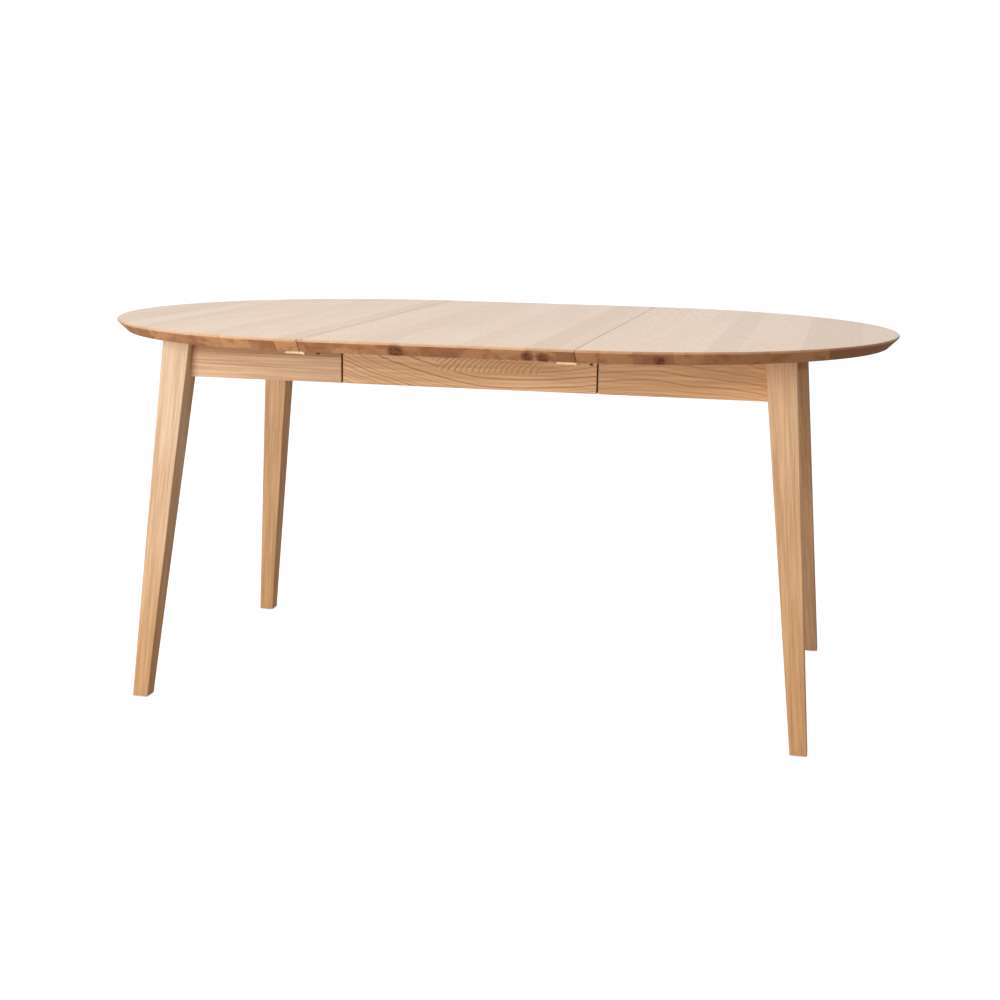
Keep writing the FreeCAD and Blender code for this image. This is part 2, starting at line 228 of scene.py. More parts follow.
# ---- The two half tops
# Each is a half disc glued up from oak staves that run across the table, 24 mm thick. The edge is cut back
# underneath by a long bevel, so that only a thin nose shows, and every edge is eased with sandpaper.
OAK_LATE = colour(233, 193, 150)
OAK_EARLY = colour(187, 127, 83)
STAVE_SPREAD = ((0.90, 0.86, 0.80, 1), (1.06, 1.07, 1.09, 1))
# The palest and the darkest sawn end. On a glued top's edge the same colours are also painted shade.
SOAKED_AND_SHADED = (colour(212, 155, 109), colour(164, 108, 75))
# Painted light: where a board's tint from its low end to its high end starts and stops along the fibres.
PAINTED_LIGHT_SPAN = (-0.35, 0.25)
STAVE_ACROSS = 0.12
STAVE_THROUGH = 0.09
STAVE_ALONG = 1.7
BARS_FADE = 0.04
BARS_EDGE = 0.006
BARS_LEAN = -26
BARS_PITCH = 0.0018
BARS_SWING = 9
BARS_MOTTLE = 10


def oak(name, grain, face, middle, pith, year=0.003, taper=0.01, wave=0.012, waves=1.3, contrast=0.8,
        arch=(0.0, 0.0), ripple=0.0, late=OAK_LATE, early=OAK_EARLY, spread=STAVE_SPREAD, gloss=(0.42, 0.52),
        fine=1.0, soak_and_shade=SOAKED_AND_SHADED, nose=0.3, painted_light_drift=None, bars=None, stave_width=0.0, glue_line=None, seed=0.37,
        knots=()):
    """Solid oak in the board's own directions: x across it, y along its fibres, z out of its show face.

    A point's age is its distance from the pith, plus a slow wave, the stem's taper along the fibres and its
    bend arch[1] * (y - arch[0])**2, divided by the thickness of a year. Each year starts dark and porous and
    ends dense and pale. Rays run out from the pith, fibres run along it, and sawn-across ends take up more
    oil and look deeper and redder. Staves glued side by side are cut from different places in the stem. On a
    glued top this deeper colour also goes on the whole edge that does not face up, sawn or not: in full on
    the bevel, as painted shade, and only a share of it on the nose, which faces up or out, as painted light.
    One pair of colours gives the palest and the darkest sawn end, and another, where given, tints the board
    from its low end to its high end as painted light. Bars are curly grain: soft stripes across the fibres
    from y = bars[0] to bars[1], between the edge and x = bars[2].
    """
    wood = Finish(name)
    turn = Matrix((grain.cross(face), grain, face))
    start = {"Location": -(turn @ middle), "Rotation": turn.to_euler()}
    spot = wood.add("ShaderNodeMapping", 0, {"Vector": wood.add("ShaderNodeTexCoord", "Object", {}), **start})
    x, y, z = wood.parts(spot)
    tone = aside = 0.5
    if stave_width or glue_line is not None:
        if stave_width:
            cell = wood.maths("DIVIDE", x, stave_width)
            whole = wood.maths("FLOOR", cell)
            chance = wood.add("ShaderNodeTexWhiteNoise", 0, {"W": whole}, noise_dimensions="1D")
            edge = wood.maths("MULTIPLY_ADD", chance, 0.5, 0.25)
            stave = wood.maths("ADD", whole, wood.maths("GREATER_THAN", wood.maths("FRACT", cell), edge))
            x = wood.maths("SUBTRACT", x, wood.maths("MULTIPLY", stave, stave_width))
        else:
            stave = wood.maths("GREATER_THAN", x, glue_line)
        place = wood.maths("ADD", stave, seed)
        draw = wood.add("ShaderNodeTexWhiteNoise", 1, {"W": place}, noise_dimensions="1D")
        aside, below, tone = wood.parts(draw)
        if not stave_width:
            tone = stave
        x = wood.maths("MULTIPLY_ADD", wood.maths("SUBTRACT", aside, 0.5), STAVE_ACROSS, x)
        z = wood.maths("MULTIPLY_ADD", below, STAVE_THROUGH, z)
        y = wood.maths("MULTIPLY_ADD", stave, STAVE_ALONG, y)
    local = wood.vector(x, y, z)
    swing = wood.noise(wood.scaled(local, 10, waves, 10), 2)
    off_x = wood.maths("SUBTRACT", x, pith[0])
    off_z = wood.maths("SUBTRACT", z, pith[1])
    squares = wood.maths("ADD", wood.maths("POWER", off_x, 2), wood.maths("POWER", off_z, 2))
    radius = wood.maths("SQRT", squares)
    bent = wood.maths("MULTIPLY_ADD", swing, wave, radius)
    bent = wood.maths("MULTIPLY_ADD", y, taper, bent)
    bow = wood.maths("POWER", wood.maths("SUBTRACT", y, arch[0]), 2)
    bent = wood.maths("MULTIPLY_ADD", bow, arch[1], bent)
    curl = wood.noise(wood.scaled(local, 14, 85, 14), 0)
    curl = wood.maths("MULTIPLY", curl, wood.fit(radius, 0.055, 0.08, 1, 0))
    bent = wood.maths("MULTIPLY_ADD", curl, ripple, bent)
    knot_heart = 0.0
    ragged = wood.noise(wood.scaled(local, 110, 60, 110), 3)
    for place, size in knots:
        centre = turn @ (place - middle)
        away = wood.add("ShaderNodeVectorMath", 0, {0: spot, 1: centre}, operation="SUBTRACT")
        away = wood.add("ShaderNodeVectorMath", 1, {0: wood.scaled(away, 1, 0.55, 1)}, operation="LENGTH")
        away = wood.maths("MULTIPLY_ADD", ragged, size, away)
        bent = wood.maths("MULTIPLY_ADD", wood.fit(away, 0, 3.5 * size, 1.6 * size, 0), 1.0, bent)
        knot_heart = wood.maths("MAXIMUM", knot_heart, wood.fit(away, 0.9 * size, 1.5 * size, 1, 0))
    slow = {"W": bent, "Scale": 55.0, "Detail": 1.0}
    uneven = wood.add("ShaderNodeTexNoise", 0, slow, noise_dimensions="1D")
    age = wood.maths("FRACT", wood.maths("MULTIPLY_ADD", uneven, 1.8, wood.maths("DIVIDE", bent, year)))
    porous = wood.maths("MAXIMUM", wood.fit(age, 0.0, 0.42, 1, 0), wood.fit(age, 0.93, 1.0, 0, 1))
    quick = {"W": bent, "Scale": 160.0, "Detail": 1.0}
    vigour = wood.add("ShaderNodeTexNoise", 0, quick, noise_dimensions="1D")
    porous = wood.maths("MULTIPLY", porous, wood.fit(vigour, 0.38, 0.62, 0.25, 1.0))
    fibre = wood.noise(wood.scaled(local, 420, 7, 420), 3, 0.6)
    bundle = wood.noise(wood.scaled(local, 130, 4, 130), 3, 0.6)
    pore = wood.noise(wood.scaled(local, 2300, 100, 2300), 1)
    pore = wood.maths("MULTIPLY", wood.fit(pore, 0.56, 0.68), wood.maths("MULTIPLY_ADD", porous, 0.75, 0.25))
    angle = wood.maths("ARCTAN2", off_x, off_z)
    ray_spot = wood.vector(wood.maths("MULTIPLY", angle, 150), wood.maths("MULTIPLY", radius, 30),
                           wood.maths("MULTIPLY", y, 42))
    ray = wood.fit(wood.noise(ray_spot, 0), 0.60, 0.72)
    patch = wood.noise(wood.scaled(local, 7, 1.6, 7), 2)
    mottle = wood.noise(wood.scaled(local, 38, 14, 60), 3)
    outward = wood.add("ShaderNodeTexCoord", "Normal", {})
    along = wood.maths("ABSOLUTE", wood.add("ShaderNodeVectorMath", 1, {0: outward, 1: grain},
                                            operation="DOT_PRODUCT"))
    facing = wood.add("ShaderNodeVectorMath", 1, {0: outward, 1: face}, operation="DOT_PRODUCT")
    square = wood.maths("ABSOLUTE", facing)
    end_grain = wood.fit(along, 0.2, 0.55)
    shown = wood.fit(square, 0.82, 0.97)
    # On a glued top the whole edge that does not face up takes the sawn-end colour: in full on the bevel, as
    # painted shade, and only the nose share on faces that point up or out, as painted light.
    if stave_width:
        end_grain = wood.maths("MAXIMUM", end_grain, wood.maths("SUBTRACT", 1, shown))
        end_grain = wood.maths("MULTIPLY", end_grain, wood.fit(facing, -0.5, -0.1, 1, nose))

    if bars:
        zone = wood.maths("MULTIPLY", wood.fit(y, bars[0], bars[0] + BARS_FADE),
                          wood.fit(y, bars[1] - BARS_FADE, bars[1], 1, 0))
        zone = wood.maths("MULTIPLY", zone, wood.fit(x, bars[2] - BARS_EDGE, bars[2], 1, 0))
        lean = wood.maths("POWER", wood.maths("SUBTRACT", x, bars[2]), 2)
        turns = wood.maths("DIVIDE", wood.maths("MULTIPLY_ADD", lean, BARS_LEAN, y), BARS_PITCH)
        turns = wood.maths("MULTIPLY_ADD", mottle, BARS_MOTTLE, turns)
        turns = wood.maths("MULTIPLY_ADD", swing, BARS_SWING, turns)
        stripe = wood.fit(wood.maths("SINE", turns), -0.3, 0.9)
        curly = wood.maths("MULTIPLY", stripe, zone)
        curly = wood.maths("MULTIPLY", curly, wood.fit(patch, 0.3, 0.6, 0.5, 1))
        porous = wood.maths("MULTIPLY", porous, wood.fit(zone, 0, 1, 1, 0.15))

    base = wood.mix(wood.maths("MULTIPLY", porous, contrast), late, early)
    base = wood.mix(1.0, base, wood.mix(wood.fit(tone, 0, 1), *spread), "MULTIPLY")
    cloud = wood.mix(wood.fit(patch, 0.3, 0.7), (0.98, 0.92, 0.87, 1), (1.03, 1.04, 1.05, 1))
    base = wood.mix(1.0, base, cloud, "MULTIPLY")
    # Painted light: the board is tinted from its low end to its high end. On the legs the foot is darker and
    # warmer and the head paler.
    if painted_light_drift:
        base = wood.mix(1.0, base, wood.mix(wood.fit(y, *PAINTED_LIGHT_SPAN), *painted_light_drift), "MULTIPLY")
    if bars:
        base = wood.mix(wood.maths("MULTIPLY", curly, 0.8), base, early)
    streaky = wood.maths("MULTIPLY_ADD", bundle, 0.65, wood.maths("MULTIPLY", fibre, 0.35))
    streak = wood.mix(wood.fit(streaky, 0.36, 0.64), (0.84, 0.78, 0.72, 1), (1.11, 1.12, 1.13, 1))
    base = wood.mix(fine, base, wood.mix(1.0, base, streak, "MULTIPLY"))
    base = wood.mix(wood.maths("MULTIPLY", ray, 0.16), base, colour(232, 200, 160))
    base = wood.mix(wood.maths("MULTIPLY", pore, 0.5 * contrast), base, colour(130, 78, 48))
    # The sawn-end colour. On a glued top's bevel and nose it is also painted shade and light.
    soaked_and_shaded = wood.mix(wood.fit(aside, 0, 1), *soak_and_shade)
    soaked_and_shaded = wood.mix(wood.maths("MULTIPLY", wood.fit(mottle, 0.46, 0.62), 0.6), soaked_and_shaded, colour(158, 94, 66))
    soaked_and_shaded = wood.mix(wood.maths("MULTIPLY", porous, 0.45), soaked_and_shaded, colour(118, 70, 44))
    base = wood.mix(wood.maths("MULTIPLY", end_grain, 0.95), base, soaked_and_shaded)
    heart = wood.mix(wood.fit(ragged, 0.42, 0.56), colour(142, 86, 60), colour(72, 36, 26))
    base = wood.mix(wood.maths("MULTIPLY", knot_heart, 0.85), base, heart)
    wood.join(base, wood.shader.inputs["Base Color"])
    rough = wood.maths("MULTIPLY_ADD", pore, 0.2 * fine, wood.fit(fibre, 0.2, 0.8, *gloss))
    rough = wood.maths("ADD", rough, wood.fit(shown, 0, 1, 0.25, 0))
    wood.join(rough, wood.shader.inputs["Roughness"])
    wood.join(wood.fit(shown, 0, 1, 0.2, 0.5), wood.shader.inputs["Specular IOR Level"])
    height = wood.maths("MULTIPLY_ADD", pore, -0.7, wood.maths("MULTIPLY_ADD", fibre, 0.3, 0.7))
    height = wood.maths("MULTIPLY_ADD", porous, -0.12, height)
    wood.bump(height, 0.35 * fine, 0.0002)
    return wood.material


def eased(corners, radii, steps):
    """An open outline whose inner corners are arcs: each starts and ends radius * tan(half the turn) away."""
    corners = np.array(corners, float)
    outline = [corners[:1]]
    for before, corner, after, radius in zip(corners[:-2], corners[1:-1], corners[2:], radii):
        inward = (before - corner) / np.linalg.norm(before - corner)
        onward = (after - corner) / np.linalg.norm(after - corner)
        half_turn = (math.pi - math.acos(inward @ onward)) / 2
        middle = (inward + onward) / np.linalg.norm(inward + onward)
        centre = corner + middle * radius / math.cos(half_turn)
        sweep = np.linspace(-half_turn, half_turn, steps + 1)[:, None]
        side = np.array([-middle[1], middle[0]])
        side = side * np.sign(side @ onward)
        outline.append(centre - radius * np.cos(sweep) * middle + radius * np.sin(sweep) * side)
    return np.concatenate(outline + [corners[-1:]])


def lofted(name, rings, material, crease=math.radians(35)):
    """A closed surface through a stack of rings, anticlockwise seen from the first ring's end."""
    rings = np.array(rings)
    count, around = rings.shape[:2]
    index = np.arange(count * around).reshape(count, around)
    here, below = index[:-1], index[1:]
    quads = np.stack([here, below, np.roll(below, -1, 1), np.roll(here, -1, 1)], axis=-1).reshape(-1, 4)
    faces = quads.tolist() + [index[0].tolist(), index[-1][::-1].tolist()]
    piece = mesh_object(name, rings, faces)
    piece.data.shade_smooth()
    piece.data.set_sharp_from_angle(angle=crease)
    piece.data.materials.append(material)
    return piece


TOP_THICKNESS = cad_high.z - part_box("leaf_top")[0].z
NOSE_FACE = 0.0045
NOSE_UNDERCUT = 0.020
ARRIS_RADIUS = 0.003
NOSE_EASE = 0.0008
BEVEL_EASE = 0.0015
SEAM_EASE = 0.0011
SEAM_CORNER = 0.002
UNDERSIDE = cad_high.z - TOP_THICKNESS


def edge_profile():
    """Rows of inset, height and ease at the seams, from just inside the arris round to the underside."""
    flat = 0.006
    corners = [(flat, cad_high.z), (0, cad_high.z), (0, cad_high.z - NOSE_FACE), (NOSE_UNDERCUT, UNDERSIDE),
               (NOSE_UNDERCUT + flat, UNDERSIDE)]
    outline = eased(corners, [ARRIS_RADIUS, NOSE_EASE, BEVEL_EASE], 6)
    height = outline[:, 1]
    depth = np.minimum(cad_high.z - height, height - UNDERSIDE)
    over = np.clip(SEAM_EASE - depth, 0, SEAM_EASE)
    ease = SEAM_EASE - np.sqrt(SEAM_EASE ** 2 - over ** 2)
    ease[[0, -1]] = flat
    return np.column_stack([outline, ease])


def quarter_round(corner, before, after):
    """Points of a small arc inside a square corner, from its side before to its side after."""
    sweep = np.linspace(0, math.pi / 2, 4, endpoint=False)[:, None]
    towards = (1 - np.sin(sweep)) * np.array(before) + (1 - np.cos(sweep)) * np.array(after)
    return np.array(corner) + SEAM_CORNER * towards


def half_disc_rings(seam_x, outward):
    """A half circle about the middle of the seam, and the straight seam, at each row of the profile."""
    steps = 180
    rings = []
    for inset, height, ease in edge_profile():
        radius = (cad_high.y - cad_low.y) / 2 - inset
        first = math.asin((ease + SEAM_CORNER) / radius)
        turn = np.linspace(first, math.pi - first, steps + 1) - math.pi / 2
        arc = np.column_stack([seam_x + outward * radius * np.cos(turn), outward * radius * np.sin(turn)])
        near = quarter_round((seam_x + outward * ease, -outward * radius), (0, outward), (outward, 0))
        far = quarter_round((seam_x + outward * ease, outward * radius), (0, -outward), (outward, 0))[::-1]
        outline = np.concatenate([near, arc, far])
        rings.append(np.column_stack([outline, np.full(len(outline), height)]))
    return rings


ALONG_Y = Vector((0, 1, 0))
UP = Vector((0, 0, 1))
STAVES = {"pith": (0.0, -0.07), "year": 0.0034, "taper": 0.012, "wave": 0.014, "contrast": 0.2,
          "late": colour(220, 184, 146), "early": colour(196, 156, 116), "gloss": (0.26, 0.29),
          "fine": 0.12, "stave_width": 0.056}
HALF_CUT_SHIFT = 0.3

for side, outward in (("left", -1), ("right", 1)):
    low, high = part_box(side + "_top")
    seam_x = low.x if outward > 0 else high.x
    middle = Vector(((low.x + high.x) / 2 + outward * HALF_CUT_SHIFT, 0, (low.z + high.z) / 2))
    # The left top's edge colours are paler, as painted light. The right top's are darker, with more of them
    # kept on its nose, as painted shade on the side away from the lamps.
    if side == "left":
        cut = {"seed": 3.3, "soak_and_shade": (colour(227, 170, 122), colour(188, 130, 92))}
    else:
        cut = {"seed": 1.9, "soak_and_shade": (colour(200, 144, 100), colour(150, 96, 66)), "nose": 0.75,
               "knots": [(Vector((0.392, -0.52, 0.738)), 0.014)]}
    skin = oak(side + "_top_oak", ALONG_Y, UP, middle, **cut, **STAVES)
    top = lofted(side + "_top_board", half_disc_rings(seam_x, outward), skin)
    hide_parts(side + "_top")
    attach(top, side + "_half")


# ---- The leaf's board
# A straight board of the same staves, with the same nose across its two ends, so that it carries on the
# line of the half tops.
def leaf_rings():
    """A rectangle between the seams with small round corners, at each row of the profile."""
    low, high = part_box("leaf_top")
    rings = []
    for inset, height, ease in edge_profile():
        left, right = low.x + ease, high.x - ease
        front, back = low.y + inset, high.y - inset
        outline = np.concatenate([quarter_round((left, front), (0, 1), (1, 0)),
                                  quarter_round((right, front), (-1, 0), (0, 1)),
                                  quarter_round((right, back), (0, -1), (-1, 0)),
                                  quarter_round((left, back), (1, 0), (0, -1))])
        rings.append(np.column_stack([outline, np.full(len(outline), height)]))
    return rings


leaf_knots = [(Vector((-0.070, -0.54, 0.737)), 0.021), (Vector((0.166, -0.54, 0.739)), 0.015),
              (Vector((0.192, -0.54, 0.736)), 0.017)]
LEAF_CUT_SHIFT = 0.013
leaf_middle = Vector((LEAF_CUT_SHIFT, 0, cad_high.z - TOP_THICKNESS / 2))
leaf_oak = oak("leaf_top_oak", ALONG_Y, UP, leaf_middle, seed=5.2, knots=leaf_knots, **STAVES)
leaf_board = lofted("leaf_board", leaf_rings(), leaf_oak)
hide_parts("leaf_top")
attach(leaf_board, "leaf")


# ---- The aprons
# Planed oak boards on edge, 20 mm thick and 83 mm deep, fixed under the tops. The long ones end against the
# legs' slanting inner faces, and stop a few millimetres apart at the seams.
APRON_EASE = 0.0008


def block(name, corners, ease, material):
    """A six-sided board from an array of corners, [x][y][z], with its edges eased."""
    sides = [(0, 1, 3, 2), (4, 6, 7, 5), (0, 4, 5, 1), (2, 3, 7, 6), (0, 2, 6, 4), (1, 5, 7, 3)]
    piece = mesh_object(name, np.array(corners), sides)
    soften = piece.modifiers.new("eased_edges", "BEVEL")
    soften.width = ease
    soften.segments = 3
    soften.limit_method = "ANGLE"
    soften.angle_limit = math.radians(40)
    piece.data.materials.append(material)
    return piece


def board_corners(low, high):
    """The corners of a box, [x][y][z], from its lowest and highest corner."""
    ends = np.array([low, high])
    corner = np.indices((2, 2, 2))
    return np.stack([ends[corner[axis], axis] for axis in range(3)], axis=-1)


def oak_apron(node, body, grain, face, pith, **board):
    """One apron in the place of its node. Its ends at a leg lean with the leg's face."""
    low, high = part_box(node)
    corners = board_corners(low, high)
    side = node.split("_")[0]
    if node.endswith("end_apron"):
        leg_low, leg_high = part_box(side + "_back_leg")
        corners[:, 0, 1, 1] = -leg_low.y
        corners[:, 1, 1, 1] = leg_low.y
    elif side != "leaf":
        leg_low, leg_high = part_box(side + "_front_leg")
        if side == "left":
            corners[0, :, 1, 0] = leg_high.x
        else:
            corners[1, :, 1, 0] = leg_low.x
    skin = oak(node + "_oak", grain, face, (low + high) / 2, pith, **board)
    piece = block(node + "_board", corners, APRON_EASE, skin)
    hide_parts(node)
    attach(piece, body)


ALONG_X = Vector((1, 0, 0))
FORWARD = Vector((0, -1, 0))
oak_apron("left_front_apron", "left_half", ALONG_X, FORWARD, (0.13, -0.03), year=0.0035, taper=0.004,
          contrast=0.4, glue_line=-0.008, spread=((0.66, 0.54, 0.43, 1), (1.0, 1.0, 1.02, 1)),
          late=colour(235, 200, 165))
oak_apron("leaf_front_apron", "leaf", ALONG_X, FORWARD, (-0.038, -0.045), year=0.005, taper=-0.02,
          wave=0.014, waves=4.0, contrast=0.95, arch=(0.08, 0.4), ripple=0.003, bars=(-0.08, 0.16, 0.012),
          late=colour(247, 206, 162))
oak_apron("right_front_apron", "right_half", ALONG_X, FORWARD, (-0.05, -0.05), year=0.005, taper=0.0,
          wave=0.018, waves=6.0, contrast=0.75, arch=(-0.045, -0.33), ripple=0.006,
          late=colour(241, 197, 152))
oak_apron("left_back_apron", "left_half", ALONG_X, -FORWARD, (0.02, -0.06), taper=0.03)
oak_apron("leaf_back_apron", "leaf", ALONG_X, -FORWARD, (-0.09, -0.03))
oak_apron("right_back_apron", "right_half", ALONG_X, -FORWARD, (0.01, -0.05), taper=0.03)
oak_apron("left_end_apron", "left_half", ALONG_Y, -ALONG_X, (0.03, -0.05), taper=0.02)
oak_apron("right_end_apron", "right_half", ALONG_Y, ALONG_X, (-0.02, -0.06), taper=0.03)


# ---- The legs
# Four square oak legs, 56.5 mm at the head and 32 mm at the foot, sawn to a straight taper and splayed both
# ways, with their long edges and the rim of the foot rounded over.
LEG_HEAD = 0.0565
LEG_FOOT = 0.032
LEG_EDGE = 0.002
FOOT_EASE = 0.001
PITHS = {"left_front": (0.11, -0.05), "right_front": (0.10, -0.07), "left_back": (-0.09, -0.06),
         "right_back": (0.12, -0.04)}
# Painted light on the legs: the front legs and the left back leg are tinted from a darker, warmer foot to a
# paler head, and the right back leg has darker wood all over, as painted shade. The left front leg's late
# wood is a little paler.
LEG_TONES_AND_PAINTED_LIGHT = {"left_front": {"late": colour(233, 198, 161),
                        "painted_light_drift": ((0.84, 0.71, 0.58, 1), (1.07, 1.18, 1.34, 1))},
         "right_front": {"painted_light_drift": ((0.85, 0.74, 0.62, 1), (1.01, 1.04, 1.11, 1))},
         "left_back": {"painted_light_drift": ((0.91, 0.84, 0.74, 1), (1.0, 1.02, 1.08, 1))},
         "right_back": {"late": colour(196, 156, 120), "early": colour(154, 110, 74)}}


def rounded_square(x, y, half, radius, height):
    """A square about x and y with quarter rounds for corners, anticlockwise seen from above."""
    quarter = np.linspace(0, math.pi / 2, 7)
    turn = np.concatenate([quarter + k * math.pi / 2 for k in range(4)])
    sign = np.array([(1, 1), (-1, 1), (-1, -1), (1, -1)]).repeat(len(quarter), axis=0)
    inset = half - radius
    return np.column_stack([x + sign[:, 0] * inset + radius * np.cos(turn),
                            y + sign[:, 1] * inset + radius * np.sin(turn), np.full(len(turn), height)])


def build_leg(side, row):
    """A stack of rounded squares down the leg, with the foot's rim drawn in by a quarter round."""
    node = side + "_" + row + "_leg"
    low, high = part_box(node)
    reach_x = -1 if side == "left" else 1
    reach_y = -1 if row == "front" else 1
    near = Vector((min(abs(low.x), abs(high.x)), min(abs(low.y), abs(high.y)), high.z))
    far = Vector((max(abs(low.x), abs(high.x)), max(abs(low.y), abs(high.y)), low.z))
    head = near + Vector((LEG_HEAD / 2, LEG_HEAD / 2, 0))
    foot = far - Vector((LEG_FOOT / 2, LEG_FOOT / 2, 0))
    rings = []
    rim = np.linspace(0, math.pi / 2, 4)
    heights = [high.z] + (low.z + FOOT_EASE * (1 - np.sin(rim))).tolist()
    insets = [0.0] + (FOOT_EASE * (1 - np.cos(rim))).tolist()
    for height, inset in zip(heights, insets):
        share = (high.z - height) / (high.z - low.z)
        centre = head.lerp(foot, share)
        half = (LEG_HEAD + (LEG_FOOT - LEG_HEAD) * share) / 2 - inset
        rings.append(rounded_square(reach_x * centre.x, reach_y * centre.y, half, LEG_EDGE - inset, height))
    head.x, head.y = reach_x * head.x, reach_y * head.y
    foot.x, foot.y = reach_x * foot.x, reach_y * foot.y
    grain = (head - foot).normalized()
    face = FORWARD - grain * grain.dot(FORWARD)
    face.normalize()
    corner = side + "_" + row
    skin = oak(node + "_oak", grain, face, (head + foot) / 2, PITHS[corner], year=0.003, taper=0.006,
               contrast=0.35, **LEG_TONES_AND_PAINTED_LIGHT[corner])
    piece = lofted(node + "_post", rings, skin)
    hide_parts(node)
    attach(piece, side + "_half")


for side in ("left", "right"):
    for row in ("front", "back"):
        build_leg(side, row)


# ---- Glides
# A white nylon disc, 20 mm across and 2 mm thick, under each foot. It keeps the sawn end off the floor and
# lets the table be moved without a scratch.
def nylon_skin():
    """Off-white moulded nylon, a little soiled."""
    nylon = Finish("nylon")
    spot = nylon.scaled(nylon.add("ShaderNodeTexCoord", "Object", {}), 300, 300, 300)
    soil = nylon.noise(spot, 3)
    nylon.join(nylon.mix(nylon.fit(soil, 0.4, 0.7), colour(232, 228, 218), colour(206, 199, 184)),
               nylon.shader.inputs["Base Color"])
    nylon.join(nylon.fit(soil, 0.3, 0.7, 0.38, 0.55), nylon.shader.inputs["Roughness"])
    nylon.bump(soil, 0.1, 0.0001)
    return nylon.material


def dress(nodes, material):
    """Gives CAD nodes their finish in every material slot."""
    for node in nodes:
        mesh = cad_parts[node].data
        mesh.materials.clear()
        mesh.materials.append(material)


dress(["left_glides", "right_glides"], nylon_skin())


# ---- Slides, stop blocks and corner blocks
# Planed beech: hard, pale pinkish brown, with short dark flecks along the grain. The rails run with dovetail
# tongues in each other's grooves, and are rubbed with wax.
def beech_skin(name, grain, face):
    """Even wood with faint years across the board and spindle-shaped flecks along it."""
    beech = Finish(name)
    turn = Matrix((grain.cross(face), grain, face))
    spot = beech.add("ShaderNodeMapping", 0, {"Vector": beech.add("ShaderNodeTexCoord", "Object", {}),
                                              "Rotation": turn.to_euler()})
    years = beech.noise(beech.scaled(spot, 130, 2.2, 60), 3)
    fleck = beech.fit(beech.noise(beech.scaled(spot, 1500, 260, 1500), 0), 0.62, 0.72)
    fibre = beech.noise(beech.scaled(spot, 700, 14, 700), 2)
    base = beech.mix(beech.fit(years, 0.3, 0.7), colour(214, 178, 142), colour(190, 150, 114))
    base = beech.mix(beech.maths("MULTIPLY", fleck, 0.5), base, colour(140, 94, 62))
    base = beech.mix(beech.maths("MULTIPLY", fibre, 0.25), base, colour(226, 196, 164))
    beech.join(base, beech.shader.inputs["Base Color"])
    beech.join(beech.fit(fibre, 0.2, 0.8, 0.34, 0.48), beech.shader.inputs["Roughness"])
    beech.bump(beech.maths("MULTIPLY_ADD", fleck, -0.5, fibre), 0.25, 0.0001)
    return beech.material


rails = [side + "_" + row + "_rail" for side in ("left", "right") for row in ("front", "back")]
rails += ["front_middle_rail", "back_middle_rail", "left_stop_blocks", "right_stop_blocks"]
dress(rails, beech_skin("beech_rails", ALONG_X, FORWARD))
for side, outward in (("left", -1), ("right", 1)):
    for row, away in (("front", -1), ("back", 1)):
        along = Vector((outward, -away, 0)).normalized()
        dress([side + "_" + row + "_corner_block"], beech_skin("beech_" + side + "_" + row, along, UP))


# ---- Brackets, bolts and nuts
# Pressed steel brackets hold the tops to the aprons, and hanger bolts with flanged nuts draw the legs up to
# their corner blocks. All are bright zinc plated.
def zinc_skin():
    """Zinc plate: cool grey metal, clouded where it was handled."""
    zinc = Finish("zinc_plate")
    spot = zinc.add("ShaderNodeTexCoord", "Object", {})
    cloud = zinc.noise(zinc.scaled(spot, 90, 90, 90), 4, 0.6)
    scratch = zinc.noise(zinc.scaled(spot, 240, 2200, 2200), 2)
    zinc.join(zinc.mix(zinc.fit(cloud, 0.3, 0.7), colour(206, 208, 206), colour(180, 182, 178)),
              zinc.shader.inputs["Base Color"])
    zinc.shader.inputs["Metallic"].default_value = 1.0
    zinc.join(zinc.maths("MULTIPLY_ADD", scratch, 0.15, zinc.fit(cloud, 0.3, 0.7, 0.24, 0.42)),
              zinc.shader.inputs["Roughness"])
    zinc.bump(scratch, 0.1, 0.00005)
    return zinc.material


zinc = zinc_skin()
dress([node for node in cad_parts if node.endswith(("_brackets", "_bolts", "_nuts"))], zinc)


# ---- Leaf locks
# Swing hooks and rivets of brass, brushed along their length, with plates, keepers and studs of browned
# steel.
def brushed_metal(name, bright, dull, roughness):
    """Metal with fine scratches along X and darker clouds of tarnish."""
    metal = Finish(name)
    spot = metal.add("ShaderNodeTexCoord", "Object", {})
    tarnish = metal.noise(metal.scaled(spot, 120, 120, 120), 3)
    scratch = metal.noise(metal.scaled(spot, 120, 5200, 5200), 2)
    metal.join(metal.mix(metal.fit(tarnish, 0.35, 0.75), bright, dull), metal.shader.inputs["Base Color"])
    metal.shader.inputs["Metallic"].default_value = 1.0
    metal.join(metal.maths("MULTIPLY_ADD", scratch, 0.25, roughness), metal.shader.inputs["Roughness"])
    metal.bump(scratch, 0.15, 0.00005)
    return metal.material


brass = brushed_metal("brushed_brass", colour(250, 222, 184), colour(232, 198, 156), 0.24)
browned = brushed_metal("browned_steel", colour(150, 112, 84), colour(112, 82, 62), 0.42)
dress([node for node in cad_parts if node.endswith(("_lock_rivet", "_lock_hook"))], brass)
browned_ends = ("_lock_plate", "_keeper", "_keeper_stud")
dress([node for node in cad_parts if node.endswith(browned_ends)], browned)


